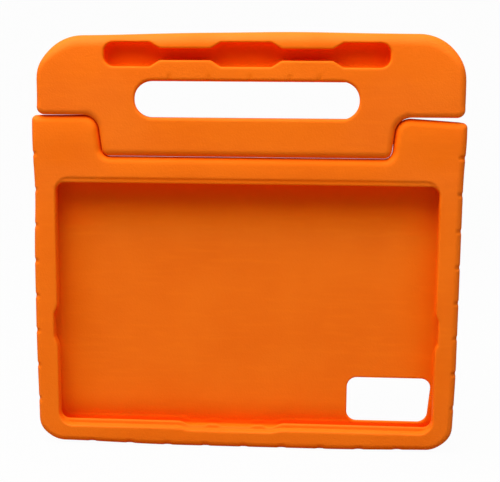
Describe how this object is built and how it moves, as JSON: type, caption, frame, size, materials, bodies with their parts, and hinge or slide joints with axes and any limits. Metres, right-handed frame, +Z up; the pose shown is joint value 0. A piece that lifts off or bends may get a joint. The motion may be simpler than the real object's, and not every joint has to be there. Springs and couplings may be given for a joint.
{
  "type": "kids tablet case",
  "caption": "Moulded foam tablet case with a stepped screen frame, a camera window and a carrying handle that folds back as a stand.",
  "frame": {"origin": "centre of the lower edge that the case stands on", "axes": "+Z up through the handle, -Y out of the screen opening, +X across the case to the viewer's right; positive fold turns the handle's top towards +Y"},
  "size_m": [0.2692, 0.025, 0.2635],
  "materials": {
    "foam": "matte moulded EVA foam with a fine leathery skin",
    "peg_plastic": "natural moulded plastic"
  },
  "bodies": {
    "case": {"case_body": "foam"},
    "handle": {"handle": "foam", "hinge_peg_left": "peg_plastic", "hinge_peg_right": "peg_plastic"}
  },
  "joints": [
    {"name": "handle_fold", "type": "hinge", "parent": "case", "child": "handle", "pos_m": [0, 0, 0.2], "axis": [-1, 0, 0], "range_deg": [0, 110]}
  ]
}
